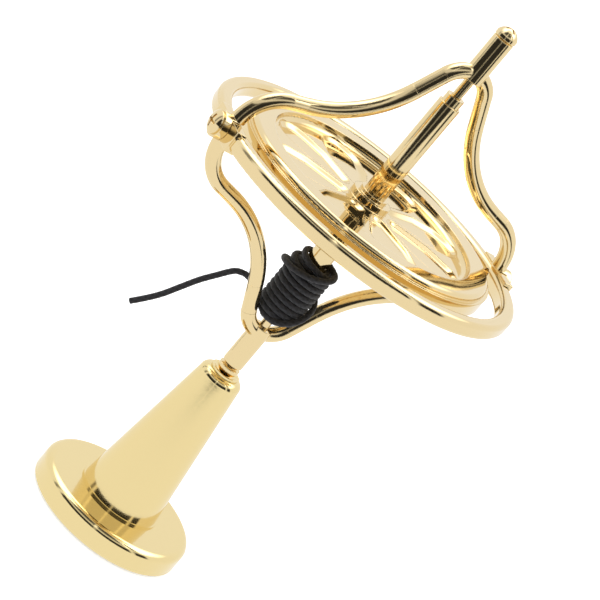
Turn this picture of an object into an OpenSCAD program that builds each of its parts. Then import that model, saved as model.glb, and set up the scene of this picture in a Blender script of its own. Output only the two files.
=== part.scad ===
// Toy gyroscope standing on a turned pedestal, at real size in millimetres.
// The origin is the centre of the foot's underside and +Z is up.
// The bent loop lies in the X-Z plane and the flat ring lies level round the flywheel.

/* [Stand] */
// Diameter of the round foot
foot_d = 30.5; // [22:0.5:44]
// Thickness of the foot
foot_h = 4.5; // [3.8:0.1:8]
// Rounding of the foot's upper edge
foot_edge_r = 1.3; // [0.4:0.1:1.8]
// Bevel round the foot's underside
foot_bevel = 0.3; // [0.1:0.1:0.8]
// Diameter of the column where it meets the foot
column_base_d = 15.4; // [11:0.2:20]
// Diameter of the column below its polished shoulder
column_neck_d = 8.3; // [7.4:0.1:10]
// Height of the column above the foot
column_h = 30.9; // [22:0.1:45]
// Height of the turned fillet line at the column's base
base_line_h = 0.35; // [0.2:0.05:0.8]
// Width of the turned fillet line at the column's base
base_line_w = 0.3; // [0.1:0.05:0.8]
// Radius of the column's polished shoulder
shoulder_r = 1.35; // [0.8:0.05:1.4]
// Height of the socket's lip above the shoulder
lip_h = 0.45; // [0.2:0.05:0.8]
// Diameter of the spigot pressed into the foot
spigot_d = 6; // [4:0.1:8]
// Length of the spigot
spigot_h = 3.2; // [2:0.1:3.4]
// Radius of the round-bottomed socket in the column's top
socket_r = 4; // [3.2:0.1:5]
// Depth of the socket
socket_depth = 0.8; // [0.5:0.05:0.9]

/* [Loop] */
// Thickness of the loop's round bar
loop_bar_d = 2.8; // [2.2:0.1:3.2]
// Radius of the crown, to the bar's centre
crown_r = 5; // [4.4:0.1:6]
// Height of the crown's centre above the ring's plane
crown_h = 24.3; // [23.5:0.1:28]
// Angle below level at which the bar leaves the crown
flank_angle = 63; // [60:0.5:68]
// Length of the straight flank below the crown
flank_len = 5.5; // [4.5:0.1:6.5]
// Radius of the shoulder above the boss, to the bar's centre
bend_r = 7.8; // [6.5:0.1:9]
// Angle below level at the end of the hollow sweep
slope_angle = 14.5; // [10:0.5:20]
// Length of the straight slope before the shoulder
slope_len = 2.84; // [1.5:0.02:3.6]
// Diameter of the sleeve that holds a pivot screw
sleeve_d = 3.85; // [3.2:0.05:4.6]
// Length of the sleeve outside the crown's centre line
sleeve_len = 7.7; // [6:0.1:12]
// Bevel round the sleeve's outer end
sleeve_bevel = 0.3; // [0.1:0.05:0.5]
// Diameter of the round boss that takes the ring
boss_d = 5; // [4.9:0.1:6]
// Wall of the boss outside the ring
boss_wall = 1.4; // [1:0.1:2]

/* [Ring] */
// Outer diameter of the flat ring
ring_d = 63; // [61:0.5:68]
// Radial width of the ring's section
ring_w = 2.8; // [2:0.1:3.2]
// Height of the ring's section
ring_h = 3; // [2.9:0.1:3.6]
// Rounding of the ring's four edges
ring_edge_r = 0.85; // [0.4:0.05:0.95]
// Length of the lug along the ring
lug_l = 10; // [7:0.2:14]
// Height of the lug
lug_h = 3.9; // [3.4:0.1:4]
// Thickness of the lug
lug_t = 1.8; // [1.2:0.1:2.2]

/* [Screws] */
// Shank diameter of every screw
shank_d = 1.8; // [1.4:0.1:2.2]
// Head diameter of the two pivot screws
pivot_head_d = 4; // [3.2:0.1:4.4]
// Thickness of the pivot head's flange
pivot_flange_h = 0.65; // [0.4:0.05:1]
// Height of the pivot head's dome
pivot_dome_h = 1.35; // [0.8:0.05:1.6]
// Bare neck between the lower sleeve and the lower screw's head
neck_gap = 0.4; // [0.2:0.05:1]
// Head diameter of the left side screw
left_head_d = 4.3; // [3:0.1:4.6]
// Head diameter of the right side screw
right_head_d = 2.8; // [2.6:0.1:4]
// Thickness of the side heads' rim
side_rim_h = 0.35; // [0.25:0.05:0.8]
// Height of the side heads' dome
side_dome_h = 0.75; // [0.7:0.05:1]
// Length of each arm of a cross recess, as a share of the head
recess_share = 0.58; // [0.4:0.02:0.7]
// Width of a cross recess
recess_w = 0.45; // [0.3:0.05:0.7]
// Depth of a cross recess below the dome's top
recess_depth = 0.65; // [0.4:0.05:0.7]

/* [Flywheel] */
// Open space between the flywheel and the ring
rim_gap = 3; // [2:0.1:5]
// Height of the rim
rim_h = 4.8; // [4:0.1:6]
// Inner diameter of the rim
rim_bore_d = 41.6; // [38:0.2:43]
// Width of the ledge turned round the rim's outer edges
ledge_w = 0.7; // [0.3:0.05:1.2]
// Drop from the rim's face to the ledge
ledge_drop = 1.15; // [0.8:0.05:1.5]
// Rounding of the rim's face at the ledge
rim_edge_r = 0.85; // [0.2:0.05:0.9]
// Thickness of the web
web_t = 1.7; // [1.2:0.1:2.8]
// Radius of the hollow between web and rim
web_cove_r = 1; // [0.6:0.1:1.2]
// Number of petal-shaped openings in the web
petal_count = 8; // [8:1:10]
// Width of the spokes between the petals
spoke_w = 1; // [0.8:0.1:1.6]
// Radius of a petal's round outer end
petal_end_r = 4.4; // [3.6:0.1:4.4]
// Radius of a petal's round inner end
petal_tip_r = 2; // [1.9:0.1:2.2]
// Distance of a petal's outer end from the rim's bore
petal_margin = 0.3; // [0.2:0.1:1.5]
// Diameter of the hub
hub_d = 7.6; // [6.8:0.1:8.4]
// Height of the hub
hub_h = 4.2; // [3.2:0.1:5]
// Diameter of the collars round the axle
collar_d = 5.4; // [5:0.1:6.2]
// Height of the flywheel over both collars
collar_h = 5.6; // [5.2:0.1:7]

/* [Axle] */
// Diameter of the axle
axle_d = 4.2; // [3.4:0.1:4.4]
// Length of the axle
axle_len = 48.6; // [44:0.2:49]
// Diameter of the step at each end of the axle
axle_end_d = 3.4; // [2.8:0.1:3.6]
// Length of the step at each end of the axle
axle_end_len = 1.65; // [1:0.05:2.5]
// Half width of the cone drilled into each end of the axle
cone_r = 1; // [0.95:0.05:1.2]

/* [Cord] */
// Thickness of the braided cord
cord_d = 1.05; // [0.8:0.05:1.2]
// Height of the winding on the axle
winding_h = 13.6; // [9:0.1:13.8]
// Outer diameter of the winding
winding_d = 8.3; // [7:0.1:8.4]
// Distance of the winding's top below the ring's plane
winding_drop = 12.1; // [10:0.1:12.2]

/* [Fits] */
// Running clearance on a radius
run_gap = 0.05; // [0.02:0.01:0.1]
// Clearance round the ring's lug in the boss
seat_gap = 0.05; // [0.02:0.01:0.1]
// Clearance between the winding and the axle
wind_gap = 0.15; // [0.1:0.05:0.4]

/* [Hidden] */

$fn = 96;
polished = "#e8c36a";
satin = "#dfc07a";
black_braid = "#1d1c1e";

// Heights, from the foot up
lip_z = foot_h + column_h;
rest_z = lip_z - socket_depth;
pivot_head_h = pivot_flange_h + pivot_dome_h;
sleeve_end = crown_h + crown_r + sleeve_len;
ring_z = rest_z + pivot_head_h + neck_gap + sleeve_end;

// Ring and boss
ring_mid_r = ring_d / 2 - ring_w / 2;
lug_out_r = ring_d / 2;
boss_face_r = lug_out_r + boss_wall;
seat_r = lug_out_r + seat_gap;

// Loop, one quarter: crown, flank, hollow sweep, slope, shoulder
bar_r = loop_bar_d / 2;
bend_lap = 0.3;
bend_step = 0.02;
cut_lap = 0.01;
p1 = [crown_r * sin(flank_angle), crown_h + crown_r * cos(flank_angle)];
p2 = p1 + flank_len * [cos(flank_angle), -sin(flank_angle)];
slope_run = slope_len * cos(slope_angle);
bend_run = bend_r * (1 - sin(slope_angle));
sweep_r = (ring_mid_r - bend_run - slope_run - p2[0]) / (sin(flank_angle) - sin(slope_angle));
sweep_c = p2 + sweep_r * [sin(flank_angle), cos(flank_angle)];
p3 = sweep_c - sweep_r * [sin(slope_angle), cos(slope_angle)];
p4 = p3 + slope_len * [cos(slope_angle), -sin(slope_angle)];
bend_c = p4 - bend_r * [sin(slope_angle), cos(slope_angle)];

// Pivot tips: 90 degree cones in matching drilled cones
shank_r = shank_d / 2;
bore_r = shank_r + run_gap;
cone_tip = axle_len / 2 - cone_r + run_gap;

// Flywheel
wheel_r = ring_d / 2 - ring_w - rim_gap;
rim_bore_r = rim_bore_d / 2;
petal_half = 180 / petal_count;
petal_out_x = rim_bore_r - petal_margin - petal_end_r;
petal_in_x = (petal_tip_r + spoke_w / 2) / sin(petal_half);
petal_turn = -1;

// Cord winding, measured from the ring's plane
wind_r = winding_d / 2;
wind_in_r = axle_d / 2 + wind_gap;
wind_low = -winding_drop - winding_h;

// The cord's loose end, from the winding's lowest turn, past the loop's arm, to its bare tip
tail_points = [
  [-1.8, -3.5, 49],
  [-2.8, -1.8, 48.8],
  [-3, -0.1, 49],
  [-3.2, 1.6, 49.2],
  [-3.3, 3.2, 49.4],
  [-3.6, 4.8, 49.8],
  [-4, 6, 50],
  [-4.6, 7.2, 50],
  [-5.3, 7.7, 49.8],
  [-6.1, 8.3, 49.3],
  [-6.8, 8.8, 48.3],
  [-7.8, 9.5, 46.5],
  [-9.3, 10.5, 43.8],
  [-10.7, 11.5, 40.6],
  [-12.1, 12.5, 37.4],
  [-13.6, 13.5, 34.8],
  [-15, 14.5, 32.6],
];

// ---------- shared shapes ----------

// A round bar bent through an arc in the X-Z plane, from the angle a0 by turn degrees
module bent_bar(centre, r, a0, turn) {
  translate([centre[0], 0, centre[1]])
    rotate([90, 0, 0])
      rotate([0, 0, a0])
        rotate_extrude(angle = turn)
          translate([r, 0])
            circle(r = bar_r);
}

// A straight round bar between two points of the X-Z plane, let a little way into both bends
module straight_bar(from, to) {
  run = to - from;
  translate([from[0], 0, from[1]])
    rotate([0, atan2(run[0], run[1]), 0])
      translate([0, 0, -bend_lap])
        cylinder(h = norm(run) + 2 * bend_lap, r = bar_r - bend_step);
}

// Cross recess cut down into a head whose top is at the origin
module cross_recess(head_d) {
  arm = head_d * recess_share;
  for (turn = [0, 90])
    rotate([0, 0, turn])
      translate([-arm / 2, -recess_w / 2, -recess_depth])
        cube([arm, recess_w, recess_depth + 1]);
}

// A domed head that sits on the plane z = 0, with its cross recess
module domed_head(head_d, rim_h, dome_h) {
  ball_r = (pow(head_d / 2, 2) + pow(dome_h, 2)) / (2 * dome_h);
  difference() {
    union() {
      cylinder(h = rim_h, d = head_d);
      translate([0, 0, rim_h])
        intersection() {
          translate([0, 0, dome_h - ball_r])
            sphere(r = ball_r);
          cylinder(h = dome_h + 1, d = head_d + 1);
        }
    }
    translate([0, 0, rim_h + dome_h])
      cross_recess(head_d);
  }
}

// A pivot screw pointing down from z = 0: head above, shank and cone tip below
module pivot_screw(shank_len) {
  domed_head(pivot_head_d, pivot_flange_h, pivot_dome_h);
  translate([0, 0, -shank_len + shank_r])
    cylinder(h = shank_len - shank_r, r = shank_r);
  translate([0, 0, -shank_len])
    cylinder(h = shank_r, r1 = 0, r2 = shank_r);
}

// ---------- stand ----------

module stand_foot() {
  color(satin)
    difference() {
      rotate_extrude()
        difference() {
          union() {
            square([foot_d / 2 - foot_edge_r, foot_h]);
            square([foot_d / 2, foot_h - foot_edge_r]);
            translate([foot_d / 2 - foot_edge_r, foot_h - foot_edge_r])
              circle(r = foot_edge_r);
          }
          polygon([
            [foot_d / 2 - foot_bevel, 0],
            [foot_d / 2, 0],
            [foot_d / 2, foot_bevel],
          ]);
        }
      translate([0, 0, foot_h - spigot_h])
        cylinder(h = spigot_h + 1, d = spigot_d);
    }
}

module stand_column() {
  shoulder_z = lip_z - lip_h - shoulder_r;
  neck_r = column_neck_d / 2;
  color(satin)
    difference() {
      union() {
        translate([0, 0, foot_h - spigot_h])
          cylinder(h = spigot_h, d = spigot_d);
        translate([0, 0, foot_h])
          cylinder(h = base_line_h, d = column_base_d + 2 * base_line_w);
        translate([0, 0, foot_h])
          cylinder(h = shoulder_z - foot_h, d1 = column_base_d, d2 = column_neck_d);
        translate([0, 0, shoulder_z])
          rotate_extrude() {
            square([neck_r - shoulder_r, shoulder_r + lip_h]);
            intersection() {
              translate([neck_r - shoulder_r, 0])
                circle(r = shoulder_r);
              square([neck_r, shoulder_r]);
            }
          }
      }
      translate([0, 0, rest_z + socket_r])
        sphere(r = socket_r);
    }
}

// ---------- frame ----------

// One arm of the loop, from the crown to the boss at +X
module loop_arm() {
  straight_bar(p1, p2);
  bent_bar(sweep_c, sweep_r, 270 - flank_angle, flank_angle - slope_angle);
  straight_bar(p3, p4);
  bent_bar(bend_c, bend_r, 0, 90 - slope_angle);
  translate([ring_mid_r, 0, 0])
    cylinder(h = max(bend_c[1], 0) + bend_lap, r = bar_r - bend_step);
}

// Upper or lower half of the loop with its screw sleeve
module loop_half() {
  bent_bar([0, crown_h], crown_r, 90 - flank_angle, 2 * flank_angle);
  for (side = [0, 1])
    mirror([side, 0, 0])
      loop_arm();
  translate([0, 0, crown_h + crown_r - bar_r * 0.85])
    cylinder(h = sleeve_len + bar_r * 0.85 - sleeve_bevel, d = sleeve_d);
  translate([0, 0, sleeve_end - sleeve_bevel])
    cylinder(h = sleeve_bevel, r1 = sleeve_d / 2, r2 = sleeve_d / 2 - sleeve_bevel);
}

module frame_loop() {
  bore_len = sleeve_len + loop_bar_d + 2;
  color(polished)
    translate([0, 0, ring_z])
      difference() {
        union() {
          for (flip = [0, 1])
            mirror([0, 0, flip])
              loop_half();
          for (side = [-1, 1])
            rotate([0, side * 90, 0])
              translate([0, 0, ring_mid_r])
                cylinder(h = boss_face_r - ring_mid_r, d = boss_d);
        }
        for (flip = [0, 1])
          mirror([0, 0, flip])
            translate([0, 0, sleeve_end + 1 - bore_len])
              cylinder(h = bore_len, r = bore_r);
        cube([2 * seat_r, boss_d + loop_bar_d, lug_h + 2 * seat_gap], center = true);
        rotate([0, 90, 0])
          cylinder(h = 2 * boss_face_r + 2, r = bore_r, center = true);
      }
}

module frame_ring() {
  lug_in_r = lug_out_r - lug_t;
  color(polished)
    translate([0, 0, ring_z])
      difference() {
        union() {
          rotate_extrude()
            translate([ring_mid_r, 0]) {
              for (side = [-1, 1])
                for (lift = [-1, 1])
                  translate([side * (ring_w / 2 - ring_edge_r), lift * (ring_h / 2 - ring_edge_r)])
                    circle(r = ring_edge_r);
              square([ring_w, ring_h - 2 * ring_edge_r], center = true);
              square([ring_w - 2 * ring_edge_r, ring_h], center = true);
            }
          for (side = [-1, 1])
            translate([side * (lug_in_r + lug_out_r) / 2, 0, 0])
              cube([lug_t, lug_l, lug_h], center = true);
        }
        rotate([0, 90, 0])
          cylinder(h = ring_d + 2, r = bore_r, center = true);
      }
}

// One side screw, with its head outside the boss on the given side
module side_screw(side, head_d) {
  shank_end = ring_mid_r;
  color(polished)
    translate([0, 0, ring_z])
      rotate([0, side * 90, 0]) {
        translate([0, 0, boss_face_r])
          domed_head(head_d, side_rim_h, side_dome_h);
        translate([0, 0, shank_end])
          cylinder(h = boss_face_r - shank_end, r = shank_r);
      }
}

module left_side_screw() {
  side_screw(-1, left_head_d);
}

module right_side_screw() {
  side_screw(1, right_head_d);
}

module top_pivot_screw() {
  color(polished)
    translate([0, 0, ring_z + sleeve_end])
      pivot_screw(sleeve_end - cone_tip);
}

module bottom_pivot_screw() {
  color(polished)
    translate([0, 0, rest_z + pivot_head_h])
      mirror([0, 0, 1])
        pivot_screw(sleeve_end + neck_gap - cone_tip);
}

// ---------- rotor ----------

// Petal-shaped opening along +X: a straight-sided wedge between two spokes, round at both ends
module petal() {
  side_x = (petal_end_r + spoke_w / 2 / cos(petal_half)) / tan(petal_half);
  tip_x = petal_in_x - petal_tip_r * sin(petal_half);
  tip_y = petal_tip_r * cos(petal_half);
  translate([petal_in_x, 0])
    circle(r = petal_tip_r + cut_lap);
  polygon([
    [tip_x, -tip_y],
    [side_x, -petal_end_r],
    [side_x, petal_end_r],
    [tip_x, tip_y],
  ]);
  translate([side_x - cut_lap, -petal_end_r])
    square([petal_out_x - side_x + cut_lap, 2 * petal_end_r]);
  translate([petal_out_x, 0])
    circle(r = petal_end_r);
}

// Upper half of the rim's section, with the hollow down to the web
module rim_section() {
  face_r = wheel_r - ledge_w;
  half = rim_h / 2;
  square_from = rim_bore_r - web_cove_r;
  difference() {
    union() {
      translate([square_from, 0])
        square([face_r - rim_edge_r - square_from, half]);
      translate([square_from, 0])
        square([face_r - square_from, half - rim_edge_r]);
      translate([face_r - rim_edge_r, half - rim_edge_r])
        circle(r = rim_edge_r);
      translate([square_from, 0])
        square([wheel_r - square_from, half - ledge_drop]);
    }
    translate([rim_bore_r - web_cove_r, web_t / 2 + web_cove_r])
      circle(r = web_cove_r);
    translate([square_from - 1, web_t / 2])
      square([1.001, half]);
    translate([square_from - 1, web_t / 2 + web_cove_r])
      square([web_cove_r + 1, half]);
  }
}

module flywheel() {
  color(polished)
    translate([0, 0, ring_z])
      difference() {
        union() {
          for (flip = [0, 1])
            mirror([0, 0, flip])
              rotate_extrude()
                rim_section();
          cylinder(h = web_t, r = rim_bore_r - web_cove_r / 2, center = true);
          cylinder(h = hub_h, d = hub_d, center = true);
          cylinder(h = collar_h, d = collar_d, center = true);
        }
        cylinder(h = collar_h + 2, d = axle_d, center = true);
        rotate([0, 0, petal_turn])
          for (k = [0:petal_count - 1])
            rotate([0, 0, k * 360 / petal_count])
              translate([0, 0, -web_t])
                linear_extrude(2 * web_t)
                  petal();
      }
}

module axle() {
  color(polished)
    translate([0, 0, ring_z])
      difference() {
        union() {
          cylinder(h = axle_len - 2 * axle_end_len, d = axle_d, center = true);
          cylinder(h = axle_len, d = axle_end_d, center = true);
        }
        for (flip = [0, 1])
          mirror([0, 0, flip])
            translate([0, 0, axle_len / 2 - cone_r])
              cylinder(h = cone_r, r1 = 0, r2 = cone_r);
      }
}

// ---------- cord ----------

module cord_winding() {
  color(black_braid)
    translate([0, 0, ring_z])
      rotate_extrude()
        polygon([
          [wind_in_r, wind_low],
          [wind_in_r + 0.7, wind_low],
          [wind_r - 0.3, wind_low + 2.1],
          [wind_r, wind_low + 3.1],
          [wind_r, -winding_drop - 2],
          [wind_in_r + cord_d, -winding_drop - 1],
          [wind_in_r + cord_d, -winding_drop],
          [wind_in_r, -winding_drop],
        ]);
}

function unit(v) = v / norm(v);

// Direction of the route at its point i
function heading(route, i) =
  unit(route[min(i + 1, len(route) - 1)] - route[max(i - 1, 0)]);

// A ring of points round the route's point i, set square to the route
function tube_ring(route, i, r, sides) =
  let (ahead = heading(route, i))
  let (across = unit(cross(ahead, [0.3, 1, 0.2])))
  let (up = cross(ahead, across))
  [for (k = [0:sides - 1])
    route[i] + r * (cos(k * 360 / sides) * across + sin(k * 360 / sides) * up)];

// A tube of equal thickness along a route of points
module cord_tube(route, d, sides = 8) {
  rings = len(route);
  points = [for (i = [0:rings - 1]) each tube_ring(route, i, d / 2, sides)];
  walls = [for (i = [0:rings - 2]) for (k = [0:sides - 1])
    let (a = i * sides + k)
    let (b = i * sides + (k + 1) % sides)
    [a, b, b + sides, a + sides]];
  near_end = [for (k = [0:sides - 1]) sides - 1 - k];
  far_end = [for (k = [0:sides - 1]) (rings - 1) * sides + k];
  polyhedron(points, concat([near_end], walls, [far_end]));
}

module cord_tail() {
  color(black_braid)
    cord_tube(tail_points, cord_d);
}

stand_foot();
stand_column();
frame_loop();
frame_ring();
left_side_screw();
right_side_screw();
top_pivot_screw();
bottom_pivot_screw();
flywheel();
axle();
cord_winding();
cord_tail();
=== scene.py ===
"""Finish, pull cord and studio for a toy gyroscope that stands on its pedestal."""

import math

import bpy
from mathutils import Matrix, Vector


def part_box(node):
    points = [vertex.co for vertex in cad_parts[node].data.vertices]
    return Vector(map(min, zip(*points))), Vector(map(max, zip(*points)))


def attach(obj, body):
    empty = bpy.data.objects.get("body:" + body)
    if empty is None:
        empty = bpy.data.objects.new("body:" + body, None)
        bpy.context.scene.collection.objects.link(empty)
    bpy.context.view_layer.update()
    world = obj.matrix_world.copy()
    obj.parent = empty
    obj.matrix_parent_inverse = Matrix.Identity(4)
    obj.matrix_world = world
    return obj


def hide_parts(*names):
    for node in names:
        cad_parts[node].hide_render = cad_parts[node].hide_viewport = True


bl_info = {
    "name": "Gyroscope finish",
    "version": (1, 0, 0),
    "blender": (4, 5, 0),
    "location": "View3D > Sidebar > Gyroscope",
    "description": "Dresses the gyroscope on its stand and sets up the studio",
    "category": "Object",
}

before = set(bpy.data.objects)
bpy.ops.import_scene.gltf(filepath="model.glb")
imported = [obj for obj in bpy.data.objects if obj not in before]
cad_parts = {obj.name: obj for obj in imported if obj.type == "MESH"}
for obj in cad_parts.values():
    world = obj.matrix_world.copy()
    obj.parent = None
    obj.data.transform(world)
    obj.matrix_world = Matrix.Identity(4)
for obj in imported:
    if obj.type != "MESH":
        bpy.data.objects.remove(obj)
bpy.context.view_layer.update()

MM = 0.001
RING_Z = sum(corner.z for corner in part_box("frame_ring")) / 2

# The cord's turns on the axle: degrees turned since its start, radius and drop below the ring's plane in mm.
# They start at this many degrees from X and turn clockwise as seen from above.
CORD_START = 25.0
CORD_TURNS = (
    (0, 2.70, 13.7),
    (3240, 2.70, 23.7),
    (3330, 3.45, 24.35),
    (3690, 3.62, 23.25),
    (6180, 3.68, 15.35),
    (6270, 3.70, 15.0),
    (6360, 3.75, 14.55),
    (6450, 3.72, 14.35),
    (6540, 3.65, 14.1),
    (6630, 3.15, 13.25),
    (6720, 2.78, 12.55),
    (6820, 2.75, 12.6),
    (6870, 2.85, 12.8),
    (6900, 3.95, 12.95),
    (6935, 4.60, 13.5),
    (6990, 4.75, 14.8),
    (7035, 4.80, 15.5),
    (7080, 4.90, 16.0),
    (7115, 4.75, 16.7),
    (7170, 4.65, 18.0),
    (7220, 4.62, 19.0),
    (7260, 4.68, 20.7),
    (7285, 4.72, 22.3),
    (7310, 4.50, 23.9),
    (7335, 4.10, 24.9),
    (7360, 3.60, 25.25),
)
# Degrees between two points of the turns, passes that ease the turns' corners, and points left out at their end
CORD_STEP = 5
CORD_EASING = 8
CORD_END_CUT = 4
# The loose end, as part.scad has it, in metres
CORD_TAIL = (
    (-0.0018, -0.0035, 0.0490),
    (-0.0028, -0.0018, 0.0488),
    (-0.0030, -0.0001, 0.0490),
    (-0.0032, 0.0016, 0.0492),
    (-0.0033, 0.0032, 0.0494),
    (-0.0036, 0.0048, 0.0498),
    (-0.0040, 0.0060, 0.0500),
    (-0.0046, 0.0072, 0.0500),
    (-0.0053, 0.0077, 0.0498),
    (-0.0061, 0.0083, 0.0493),
    (-0.0068, 0.0088, 0.0483),
    (-0.0078, 0.0095, 0.0465),
    (-0.0093, 0.0105, 0.0438),
    (-0.0107, 0.0115, 0.0406),
    (-0.0121, 0.0125, 0.0374),
    (-0.0136, 0.0135, 0.0348),
    (-0.0150, 0.0145, 0.0326),
)

# The braid's tube: sides, length of one ring of faces in metres, and strands that run each way round it
BRAID_SIDES = 18
BRAID_RING = 0.00016
BRAID_STRANDS = 4.0

# The web's petals as part.scad has them, in mm: each lies along X between two spokes.
PETAL_COUNT = 8
PETAL_TURN = math.radians(-1)
PETAL_TIP = (6.533, 2.0)  # middle and radius of the inner end
PETAL_END = (16.1, 4.4)  # middle and radius of the outer end
PETAL_END_STEPS = 24
PETAL_TIP_STEPS = 16
# Their closed floor: distance in from the petal's edge and height over the web's middle, a drafted wall then a flat.
PETAL_DRAFT = (
    (-0.03, 0.84),
    (0.08, 0.81),
    (0.25, 0.71),
    (0.5, 0.52),
    (0.75, 0.36),
    (0.95, 0.27),
    (1.2, 0.23),
    (1.5, 0.22),
)

# Half the table's side, how far the lit sheet reaches behind and how high it lies, in metres
TABLE_HALF = 4.0
SHEET_BACK = 4.0
SHEET_LIFT = 0.0002

# The tent as the metal shows it. First its cloth: degrees to the right of the camera, share of cloth there.
# The rest is open, as most of its front is.
CLOTH_SHARE = (
    (-180, 1.0),
    (-85, 1.0),
    (-81, 0.3),
    (-74, 0.3),
    (-70, 1.0),
    (-65, 1.0),
    (-60, 0.02),
    (-3, 0.02),
    (-1, 0.6),
    (2, 0.6),
    (4, 0.02),
    (56, 0.02),
    (59, 1.0),
    (63, 1.0),
    (66, 0.02),
    (82, 0.02),
    (86, 1.0),
    (180, 1.0),
)
# Then the light by elevation in degrees: of the lit cloth, and of the dark room that its open front shows
CLOTH_LIGHT = ((-90, 0.98), (35, 0.98), (48, 2.8), (63, 2.8), (74, 1.2), (90, 1.2))
ROOM_LIGHT = (
    (-90, 0.01),
    (14, 0.01),
    (27, 0.06),
    (31, 0.75),
    (43, 0.75),
    (47, 0.06),
    (76, 0.06),
    (84, 1.2),
    (90, 1.2),
)

# ---------- shared helpers ----------


def linear(hex_colour):
    """Turns an sRGB hex colour such as #ecd6a5 into linear red, green, blue and alpha."""
    digits = hex_colour.lstrip("#")
    parts = [int(digits[i : i + 2], 16) / 255 for i in (0, 2, 4)]
    curve = [p / 12.92 if p <= 0.04045 else ((p + 0.055) / 1.055) ** 2.4 for p in parts]
    return (*curve, 1.0)


def add(tree, kind, settings=None, inputs=None):
    """Adds a node: settings are its own properties, inputs are values or sockets to link."""
    made = tree.nodes.new(kind)
    for name, value in (settings or {}).items():
        setattr(made, name, value)
    for name, value in (inputs or {}).items():
        if isinstance(value, bpy.types.NodeSocket):
            tree.links.new(value, made.inputs[name])
        else:
            made.inputs[name].default_value = value
    return made


def new_material(name):
    """Gives an empty node material and its tree."""
    made = bpy.data.materials.new(name)
    made.use_nodes = True
    made.node_tree.nodes.clear()
    return made, made.node_tree


def finish_material(tree, surface):
    """Links a surface shader to the material's output."""
    add(tree, "ShaderNodeOutputMaterial", inputs={"Surface": surface.outputs[0]})


def new_object(name, mesh):
    """Links a new mesh object to the scene."""
    made = bpy.data.objects.new(name, mesh)
    bpy.context.scene.collection.objects.link(made)
    return made


def dress(node_name, material):
    """Gives a CAD node one material."""
    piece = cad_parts[node_name]
    piece.data.materials.clear()
    piece.data.materials.append(material)


def petal_outline(inset):
    """Points round a petal, anticlockwise, moved in from its edge by the inset in mm."""
    half = math.pi / PETAL_COUNT
    tip_x, tip_r = PETAL_TIP[0], PETAL_TIP[1] - inset
    end_x, end_r = PETAL_END[0], PETAL_END[1] - inset
    bend_x = tip_x + (end_r - tip_r / math.cos(half)) / math.tan(half)
    arc = [math.radians(-90 + 180 * k / PETAL_END_STEPS) for k in range(PETAL_END_STEPS + 1)]
    points = [(end_x + end_r * math.cos(a), end_r * math.sin(a)) for a in arc]
    points.append((bend_x, end_r))
    sweep = math.pi - 2 * half
    arc = [math.pi - sweep / 2 + sweep * k / PETAL_TIP_STEPS for k in range(PETAL_TIP_STEPS + 1)]
    points += [(tip_x + tip_r * math.cos(a), tip_r * math.sin(a)) for a in arc]
    points.append((bend_x, -end_r))
    return points


def by_angle(tree, angle, reach, stops):
    """Gives the light for an angle in radians from stops of (degrees, light) between minus and plus the reach."""
    share = add(
        tree,
        "ShaderNodeMapRange",
        inputs={"Value": angle, "From Min": -math.radians(reach), "From Max": math.radians(reach)},
    )
    ramp = add(tree, "ShaderNodeValToRGB", inputs={"Fac": share.outputs[0]})
    marks = ramp.color_ramp.elements
    for mark, (_, light) in zip(marks, (stops[0], stops[-1])):
        mark.color = (light, light, light, 1)
    for degrees, light in stops[1:-1]:
        marks.new(degrees / reach / 2 + 0.5).color = (light, light, light, 1)
    return ramp.outputs["Color"]


def nodes_to_mesh(context, name, mesh, group, values):
    """Runs a node group once on a mesh and gives the plain mesh that comes out; values go by socket identifier."""
    guide = new_object(name + "_guide", mesh)
    run = guide.modifiers.new(name, "NODES")
    run.node_group = group
    for socket, value in values.items():
        run[socket] = value
    graph = context.evaluated_depsgraph_get()
    made = bpy.data.meshes.new_from_object(guide.evaluated_get(graph), depsgraph=graph)
    bpy.data.objects.remove(guide)
    made.shade_smooth()
    return made


def group_input(group, name, kind, value):
    """Adds a named input with its default to a node group."""
    made = group.interface.new_socket(name=name, in_out="INPUT", socket_type=kind)
    if value is not None:
        made.default_value = value
    return made.identifier


def through(points, steps):
    """A smooth route through the points: a Catmull-Rom curve with the given steps in each span."""
    padded = [points[0] * 2 - points[1], *points, points[-1] * 2 - points[-2]]
    route = []
    for a, b, c, d in zip(padded, padded[1:], padded[2:], padded[3:]):
        for step in range(steps):
            t = step / steps
            bend = (a * 2 - b * 5 + c * 4 - d) * t**2 + (b * 3 - a - c * 3 + d) * t**3
            route.append((b * 2 + (c - a) * t + bend) / 2)
    route.append(points[-1])
    return route


# ---------- materials ----------


def polished_brass(colour):
    """Buffed cast brass under clear lacquer: mirror bright, with the faint waves that buffing leaves."""
    made, tree = new_material("polished_brass")
    place = add(tree, "ShaderNodeTexCoord")
    # The waves are about 3 mm long
    waves = add(
        tree,
        "ShaderNodeTexNoise",
        inputs={"Vector": place.outputs["Object"], "Scale": 320.0, "Detail": 1.0},
    )
    # Buffing rounds every edge by about a quarter of a millimetre
    edges = add(tree, "ShaderNodeBevel", {"samples": 4}, {"Radius": 0.00025})
    relief = add(
        tree,
        "ShaderNodeBump",
        inputs={
            "Strength": 0.35,
            "Distance": 0.00001,
            "Height": waves.outputs["Fac"],
            "Normal": edges.outputs["Normal"],
        },
    )
    shader = add(
        tree,
        "ShaderNodeBsdfPrincipled",
        inputs={
            "Base Color": linear(colour),
            "Metallic": 1.0,
            "Roughness": 0.05,
            "Normal": relief.outputs["Normal"],
        },
    )
    finish_material(tree, shader)
    return made


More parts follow.
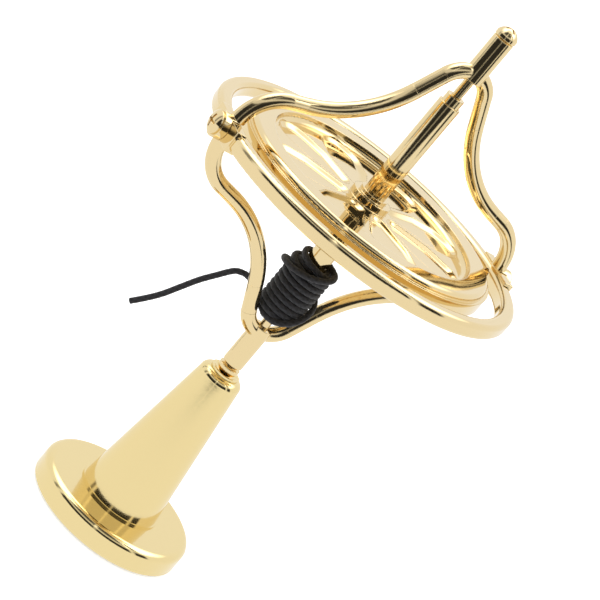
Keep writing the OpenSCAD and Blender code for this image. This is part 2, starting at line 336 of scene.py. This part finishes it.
def satin_brass(colour):
    """Cast brass, turned and lacquered: bright reflections broken by a fine grain."""
    made, tree = new_material("satin_brass")
    place = add(tree, "ShaderNodeTexCoord")
    # The grain is about 0.7 mm, with finer grain inside it
    grain = add(
        tree,
        "ShaderNodeTexNoise",
        inputs={"Vector": place.outputs["Object"], "Scale": 1400.0, "Detail": 3.0},
    )
    relief = add(
        tree,
        "ShaderNodeBump",
        inputs={"Strength": 0.45, "Distance": 0.00001, "Height": grain.outputs["Fac"]},
    )
    shader = add(
        tree,
        "ShaderNodeBsdfPrincipled",
        inputs={
            "Base Color": linear(colour),
            "Metallic": 1.0,
            "Roughness": 0.11,
            "Normal": relief.outputs["Normal"],
        },
    )
    finish_material(tree, shader)
    return made


def braided_polyester(colour):
    """Matt black braided polyester with painted shade in the gaps between the strands and painted light on their
    crowns, fine fibres that take almost no shine.
    """
    made, tree = new_material("braided_polyester")
    relief = add(tree, "ShaderNodeAttribute", {"attribute_name": "braid"})
    place = add(tree, "ShaderNodeTexCoord")
    # Fibres are 0.02 mm thick, and are drawn at 0.3 mm, about fourteen times coarser, so that they show
    fibres = add(
        tree,
        "ShaderNodeTexNoise",
        inputs={"Vector": place.outputs["Object"], "Scale": 3500.0, "Detail": 3.0},
    )
    height = add(
        tree, "ShaderNodeMath", {"operation": "ADD"}, {0: relief.outputs["Fac"], 1: fibres.outputs["Fac"]}
    )
    # Painted shade and light: the colour darkens to 0.45 in the gaps between the strands and lightens to 1.2 on
    # their crowns; the fibre noise adds random tone
    shade = add(
        tree,
        "ShaderNodeMapRange",
        inputs={"Value": height.outputs[0], "From Min": 0.3, "From Max": 1.6, "To Min": 0.45, "To Max": 1.2},
    )
    strand = add(
        tree,
        "ShaderNodeMix",
        {"data_type": "RGBA", "blend_type": "MULTIPLY"},
        {"Factor": 1.0, "A": linear(colour), "B": shade.outputs[0]},
    )
    bump = add(
        tree, "ShaderNodeBump", inputs={"Strength": 0.6, "Distance": 0.00005, "Height": fibres.outputs["Fac"]}
    )
    shader = add(
        tree,
        "ShaderNodeBsdfPrincipled",
        inputs={
            "Base Color": strand.outputs["Result"],
            "Roughness": 0.85,
            "Sheen Weight": 0.15,
            "Sheen Roughness": 0.5,
            "Normal": bump.outputs["Normal"],
        },
    )
    finish_material(tree, shader)
    return made


# ---------- settings ----------


class StageSettings(bpy.types.PropertyGroup):
    """The camera and the studio."""

    lens: bpy.props.FloatProperty(
        name="Lens", description="Focal length of the camera", default=160.0, unit="CAMERA"
    )
    distance: bpy.props.FloatProperty(
        name="Distance",
        description="Level distance from the axle to the camera",
        default=0.4315,
        unit="LENGTH",
    )
    height: bpy.props.FloatProperty(
        name="Height", description="Camera height above the table", default=0.1951, unit="LENGTH"
    )
    bearing: bpy.props.FloatProperty(
        name="Bearing",
        description="Where the camera stands round the object, from the front",
        default=math.radians(-35),
        subtype="ANGLE",
    )
    pitch: bpy.props.FloatProperty(
        name="Pitch", description="How far the camera looks down", default=math.radians(18.13), subtype="ANGLE"
    )
    yaw: bpy.props.FloatProperty(
        name="Yaw", description="How far the camera looks right", default=math.radians(0.252), subtype="ANGLE"
    )
    roll: bpy.props.FloatProperty(
        name="Roll", description="How far the camera is rolled left", default=math.radians(40.12), subtype="ANGLE"
    )
    sheet_front: bpy.props.FloatProperty(
        name="Sheet front", description="How far the lit sheet reaches in front", default=0.295, unit="LENGTH"
    )
    sheet_side: bpy.props.FloatProperty(
        name="Sheet side", description="How far the lit sheet reaches to each side", default=0.34, unit="LENGTH"
    )


class MetalSettings(bpy.types.PropertyGroup):
    """Colours of the metal."""

    polished: bpy.props.StringProperty(
        name="Polished", description="Colour of the polished brass", default="#ecd6a5"
    )
    satin: bpy.props.StringProperty(
        name="Satin", description="Colour of the satin brass", default="#eed9a0"
    )


class CordSettings(bpy.types.PropertyGroup):
    """Sizes and colour of the pull cord."""

    diameter: bpy.props.FloatProperty(
        name="Diameter", description="Thickness of the cord", default=0.00105, unit="LENGTH", precision=5
    )
    braid_pitch: bpy.props.FloatProperty(
        name="Braid pitch",
        description="Length of cord in which a strand crosses one neighbour and comes back",
        default=0.0013,
        unit="LENGTH",
        precision=5,
    )
    relief: bpy.props.FloatProperty(
        name="Relief", description="Height of a strand over the gaps", default=0.00004, unit="LENGTH", precision=5
    )
    colour: bpy.props.StringProperty(name="Colour", description="Colour of the braid", default="#232328")


# ---------- stage ----------


class GYRO_OT_stage(bpy.types.Operator):
    """Sets up the camera, the table and the light tent"""

    bl_idname = "gyro.stage"
    bl_label = "Stage"

    def execute(self, context):
        stage = context.scene.gyro_stage
        self.camera(context.scene, stage)
        self.table()
        self.sheet(stage)
        self.tent(context.scene, stage)
        context.scene.view_settings.view_transform = "Standard"
        return {"FINISHED"}

    def camera(self, scene, stage):
        data = bpy.data.cameras.new("camera")
        data.lens = stage.lens
        data.sensor_width = 36.0
        data.clip_start = 0.01
        made = bpy.data.objects.new("camera", data)
        scene.collection.objects.link(made)
        out = Vector((math.sin(stage.bearing), -math.cos(stage.bearing), 0))
        level = -out
        level.rotate(Matrix.Rotation(-stage.yaw, 3, "Z"))
        right = level.cross(Vector((0, 0, 1)))
        ahead = level * math.cos(stage.pitch) - Vector((0, 0, 1)) * math.sin(stage.pitch)
        up = right.cross(ahead)
        rolled_right = right * math.cos(stage.roll) + up * math.sin(stage.roll)
        rolled_up = up * math.cos(stage.roll) - right * math.sin(stage.roll)
        place = out * stage.distance + Vector((0, 0, stage.height))
        made.matrix_world = Matrix(
            [(*column, 0) for column in (rolled_right, rolled_up, -ahead)] + [(*place, 1)]
        ).transposed()
        scene.camera = made

    def table(self):
        half = TABLE_HALF
        mesh = bpy.data.meshes.new("table")
        corners = [(-half, -half, 0), (half, -half, 0), (half, half, 0), (-half, half, 0)]
        mesh.from_pydata(corners, [], [(0, 1, 2, 3)])
        made = new_object("table", mesh)
        material, tree = new_material("opal_acrylic")
        shader = add(
            tree,
            "ShaderNodeBsdfPrincipled",
            inputs={
                "Base Color": linear("#f4f4f4"),
                "Roughness": 0.6,
                "Emission Color": (1, 1, 1, 1),
                "Emission Strength": 0.45,
            },
        )
        finish_material(tree, shader)
        mesh.materials.append(material)
        made.visible_glossy = False

    def sheet(self, stage):
        """A lit white sheet under the object that only its reflections show; it ends in front."""
        mesh = bpy.data.meshes.new("reflector")
        front = Vector((math.sin(stage.bearing), -math.cos(stage.bearing), 0))
        side = front.cross(Vector((0, 0, 1))) * stage.sheet_side
        edge = front * stage.sheet_front
        back = front * -SHEET_BACK
        mesh.from_pydata([edge - side, edge + side, back + side, back - side], [], [(0, 1, 2, 3)])
        made = new_object("reflector", mesh)
        made.location.z = SHEET_LIFT
        material, tree = new_material("lit_paper")
        glow = add(tree, "ShaderNodeEmission", inputs={"Color": (1, 1, 1, 1), "Strength": 1.0})
        finish_material(tree, glow)
        mesh.materials.append(material)
        for ray in ("camera", "diffuse", "shadow", "transmission", "volume_scatter"):
            setattr(made, "visible_" + ray, False)

    def tent(self, scene, stage):
        world = bpy.data.worlds.new("light_tent")
        scene.world = world
        world.use_nodes = True
        tree = world.node_tree
        tree.nodes.clear()
        place = add(tree, "ShaderNodeTexCoord")
        parts = add(tree, "ShaderNodeSeparateXYZ", inputs={"Vector": place.outputs["Generated"]})
        front = (math.sin(stage.bearing), -math.cos(stage.bearing), 0)
        right = (math.cos(stage.bearing), math.sin(stage.bearing), 0)
        ahead, beside = (
            add(
                tree,
                "ShaderNodeVectorMath",
                {"operation": "DOT_PRODUCT"},
                {0: place.outputs["Generated"], 1: way},
            )
            for way in (front, right)
        )
        bearing = add(
            tree,
            "ShaderNodeMath",
            {"operation": "ARCTAN2"},
            {0: beside.outputs["Value"], 1: ahead.outputs["Value"]},
        )
        height = add(tree, "ShaderNodeMath", {"operation": "ARCSINE"}, {0: parts.outputs["Z"]})
        light = add(
            tree,
            "ShaderNodeMix",
            {"data_type": "RGBA"},
            {
                "Factor": by_angle(tree, bearing.outputs[0], 180, CLOTH_SHARE),
                "A": by_angle(tree, height.outputs[0], 90, ROOM_LIGHT),
                "B": by_angle(tree, height.outputs[0], 90, CLOTH_LIGHT),
            },
        )
        backdrop = add(
            tree,
            "ShaderNodeBackground",
            inputs={"Color": light.outputs["Result"], "Strength": 1.0},
        )
        add(tree, "ShaderNodeOutputWorld", inputs={"Surface": backdrop.outputs[0]})


class GYRO_OT_metal(bpy.types.Operator):
    """Finishes the metal pieces and closes the web's petals"""

    bl_idname = "gyro.metal"
    bl_label = "Metal"

    def execute(self, context):
        colours = context.scene.gyro_metal
        bright = polished_brass(colours.polished)
        soft = satin_brass(colours.satin)
        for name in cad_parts:
            if not name.startswith("cord_"):
                dress(name, soft if name.startswith("stand_") else bright)
        self.petal_floors(context, bright)
        return {"FINISHED"}

    def petal_floors(self, context, material):
        """The thin floors that close the web's petals, recessed with drafted walls from both faces."""
        rows = [*((inset, -z) for inset, z in reversed(PETAL_DRAFT)), *PETAL_DRAFT]
        rings = [[(x * MM, y * MM, RING_Z + z * MM) for x, y in petal_outline(inset)] for inset, z in rows]
        count = len(rings[0])
        faces = [list(reversed(range(count)))]
        for k in range(len(rings) - 1):
            for i in range(count):
                j = (i + 1) % count
                faces.append((k * count + i, k * count + j, (k + 1) * count + j, (k + 1) * count + i))
        faces.append([(len(rings) - 1) * count + i for i in range(count)])
        mesh = bpy.data.meshes.new("petal_floor")
        mesh.from_pydata([point for ring in rings for point in ring], [], faces)
        group, inputs = self.round_tree()
        values = {inputs["count"]: PETAL_COUNT, inputs["turn"]: PETAL_TURN, inputs["material"]: material}
        made = new_object("petal_floors", nodes_to_mesh(context, "petals", mesh, group, values))
        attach(made, "rotor")

    def round_tree(self):
        """Repeats a mesh round the vertical axis."""
        group = bpy.data.node_groups.new("round_the_axle", "GeometryNodeTree")
        group_input(group, "Geometry", "NodeSocketGeometry", None)
        inputs = {
            "count": group_input(group, "Count", "NodeSocketInt", 8),
            "turn": group_input(group, "Turn", "NodeSocketFloat", 0.0),
            "material": group_input(group, "Material", "NodeSocketMaterial", None),
        }
        group.interface.new_socket(name="Geometry", in_out="OUTPUT", socket_type="NodeSocketGeometry")
        given = add(group, "NodeGroupInput").outputs
        places = add(group, "GeometryNodeMeshLine", inputs={"Count": given["Count"], "Offset": (0, 0, 0)})
        index = add(group, "GeometryNodeInputIndex")
        step = add(group, "ShaderNodeMath", {"operation": "DIVIDE"}, {0: math.tau, 1: given["Count"]})
        angle = add(
            group,
            "ShaderNodeMath",
            {"operation": "MULTIPLY_ADD"},
            {0: index.outputs[0], 1: step.outputs[0], 2: given["Turn"]},
        )
        euler = add(group, "ShaderNodeCombineXYZ", inputs={"Z": angle.outputs[0]})
        rotation = add(group, "FunctionNodeEulerToRotation", inputs={"Euler": euler.outputs[0]})
        copies = add(
            group,
            "GeometryNodeInstanceOnPoints",
            inputs={
                "Points": places.outputs["Mesh"],
                "Instance": given["Geometry"],
                "Rotation": rotation.outputs[0],
            },
        )
        real = add(group, "GeometryNodeRealizeInstances", inputs={"Geometry": copies.outputs["Instances"]})
        done = add(
            group,
            "GeometryNodeSetMaterial",
            inputs={"Geometry": real.outputs["Geometry"], "Material": given["Material"]},
        )
        add(group, "NodeGroupOutput", inputs={"Geometry": done.outputs["Geometry"]})
        return group, inputs


class GYRO_OT_cord(bpy.types.Operator):
    """Winds the braided pull cord on the axle and leaves its end loose"""

    bl_idname = "gyro.cord"
    bl_label = "Pull cord"

    def execute(self, context):
        cord = context.scene.gyro_cord
        route = self.route()
        path = bpy.data.meshes.new("cord_route")
        path.from_pydata(route, [(i, i + 1) for i in range(len(route) - 1)], [])
        group, inputs = self.braid_tree()
        values = {inputs[name]: getattr(cord, name) for name in ("diameter", "braid_pitch", "relief")}
        values[inputs["material"]] = braided_polyester(cord.colour)
        made = new_object("pull_cord", nodes_to_mesh(context, "cord", path, group, values))
        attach(made, "frame")
        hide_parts("cord_winding", "cord_tail")
        return {"FINISHED"}

    def route(self):
        """The cord's middle line in metres: two layers of turns, a few crossing turns and the loose end."""
        rows = []
        for (a, r0, d0), (b, r1, d1) in zip(CORD_TURNS, CORD_TURNS[1:]):
            steps = (b - a) // CORD_STEP
            for k in range(steps):
                rows.append((a + CORD_STEP * k, r0 + (r1 - r0) * k / steps, d0 + (d1 - d0) * k / steps))
        rows.append(CORD_TURNS[-1])
        for _ in range(CORD_EASING):
            inner = [
                (b[0], (a[1] + 2 * b[1] + c[1]) / 4, (a[2] + 2 * b[2] + c[2]) / 4)
                for a, b, c in zip(rows, rows[1:], rows[2:])
            ]
            rows = [rows[0], *inner, rows[-1]]
        turns = []
        for turned, radius, drop in rows[:-CORD_END_CUT]:
            angle = math.radians(CORD_START - turned)
            x, y = radius * math.cos(angle) * MM, radius * math.sin(angle) * MM
            turns.append(Vector((x, y, RING_Z - drop * MM)))
        loose = through([turns[-1], *(Vector(point) for point in CORD_TAIL)], 8)
        return turns + loose[1:]

    def braid_tree(self):
        """A tube along the guide, raised where the strands of a round braid cross over."""
        group = bpy.data.node_groups.new("round_braid", "GeometryNodeTree")
        group_input(group, "Geometry", "NodeSocketGeometry", None)
        inputs = {
            "diameter": group_input(group, "Diameter", "NodeSocketFloat", 0.001),
            "braid_pitch": group_input(group, "Braid Pitch", "NodeSocketFloat", 0.0013),
            "relief": group_input(group, "Relief", "NodeSocketFloat", 0.00004),
            "material": group_input(group, "Material", "NodeSocketMaterial", None),
        }
        group.interface.new_socket(name="Geometry", in_out="OUTPUT", socket_type="NodeSocketGeometry")
        given = add(group, "NodeGroupInput").outputs
        line = add(group, "GeometryNodeMeshToCurve", inputs={"Mesh": given["Geometry"]})
        even = add(
            group,
            "GeometryNodeResampleCurve",
            {"mode": "LENGTH"},
            {"Curve": line.outputs["Curve"], "Length": BRAID_RING},
        )
        spline = add(group, "GeometryNodeSplineParameter")
        rail = add(
            group,
            "GeometryNodeStoreNamedAttribute",
            {"data_type": "FLOAT", "domain": "POINT"},
            {"Geometry": even.outputs["Curve"], "Name": "along", "Value": spline.outputs["Length"]},
        )
        radius = add(group, "ShaderNodeMath", {"operation": "MULTIPLY"}, {0: given["Diameter"], 1: 0.5})
        circle = add(
            group,
            "GeometryNodeCurvePrimitiveCircle",
            inputs={"Resolution": BRAID_SIDES, "Radius": radius.outputs[0]},
        )
        index = add(group, "GeometryNodeInputIndex")
        turn = add(
            group, "ShaderNodeMath", {"operation": "MULTIPLY"}, {0: index.outputs[0], 1: math.tau / BRAID_SIDES}
        )
        profile = add(
            group,
            "GeometryNodeStoreNamedAttribute",
            {"data_type": "FLOAT", "domain": "POINT"},
            {"Geometry": circle.outputs["Curve"], "Name": "around", "Value": turn.outputs[0]},
        )
        tube = add(
            group,
            "GeometryNodeCurveToMesh",
            inputs={
                "Curve": rail.outputs["Geometry"],
                "Profile Curve": profile.outputs["Geometry"],
                "Fill Caps": True,
            },
        )
        along = add(group, "GeometryNodeInputNamedAttribute", {"data_type": "FLOAT"}, {"Name": "along"})
        around = add(group, "GeometryNodeInputNamedAttribute", {"data_type": "FLOAT"}, {"Name": "around"})
        share = add(
            group, "ShaderNodeMath", {"operation": "DIVIDE"}, {0: along.outputs[0], 1: given["Braid Pitch"]}
        )
        phase = add(group, "ShaderNodeMath", {"operation": "MULTIPLY"}, {0: share.outputs[0], 1: math.tau})
        lean = add(group, "ShaderNodeMath", {"operation": "MULTIPLY"}, {0: around.outputs[0], 1: BRAID_STRANDS})
        waves = []
        for way in ("ADD", "SUBTRACT"):
            sum_ = add(group, "ShaderNodeMath", {"operation": way}, {0: phase.outputs[0], 1: lean.outputs[0]})
            waves.append(add(group, "ShaderNodeMath", {"operation": "SINE"}, {0: sum_.outputs[0]}))
        braid = add(
            group, "ShaderNodeMath", {"operation": "MAXIMUM"}, {0: waves[0].outputs[0], 1: waves[1].outputs[0]}
        )
        marked = add(
            group,
            "GeometryNodeStoreNamedAttribute",
            {"data_type": "FLOAT", "domain": "POINT"},
            {"Geometry": tube.outputs["Mesh"], "Name": "braid", "Value": braid.outputs[0]},
        )
        rise = add(group, "ShaderNodeMath", {"operation": "MULTIPLY"}, {0: braid.outputs[0], 1: given["Relief"]})
        outward = add(group, "GeometryNodeInputNormal")
        push = add(
            group,
            "ShaderNodeVectorMath",
            {"operation": "SCALE"},
            {0: outward.outputs["Normal"], "Scale": rise.outputs[0]},
        )
        raised = add(
            group,
            "GeometryNodeSetPosition",
            inputs={"Geometry": marked.outputs["Geometry"], "Offset": push.outputs[0]},
        )
        real = add(group, "GeometryNodeRealizeInstances", inputs={"Geometry": raised.outputs["Geometry"]})
        done = add(
            group,
            "GeometryNodeSetMaterial",
            inputs={"Geometry": real.outputs["Geometry"], "Material": given["Material"]},
        )
        add(group, "NodeGroupOutput", inputs={"Geometry": done.outputs["Geometry"]})
        return group, inputs


class GYRO_PT_panel(bpy.types.Panel):
    """Lists the gyroscope's tools"""

    bl_label = "Gyroscope"
    bl_space_type = "VIEW_3D"
    bl_region_type = "UI"
    bl_category = "Gyroscope"

    def draw(self, context):
        for made in OPERATORS:
            self.layout.operator(made.bl_idname)


OPERATORS = (GYRO_OT_stage, GYRO_OT_cord, GYRO_OT_metal)
SETTINGS = (("gyro_stage", StageSettings), ("gyro_cord", CordSettings), ("gyro_metal", MetalSettings))
CLASSES = (*(group for _, group in SETTINGS), *OPERATORS, GYRO_PT_panel)


def register():
    for made in CLASSES:
        bpy.utils.register_class(made)
    for name, group in SETTINGS:
        setattr(bpy.types.Scene, name, bpy.props.PointerProperty(type=group))


def unregister():
    for name, _ in SETTINGS:
        delattr(bpy.types.Scene, name)
    for made in reversed(CLASSES):
        bpy.utils.unregister_class(made)


def main():
    register()
    bpy.ops.gyro.stage()
    bpy.ops.gyro.cord()
    bpy.ops.gyro.metal()


if __name__ == "__main__":
    main()
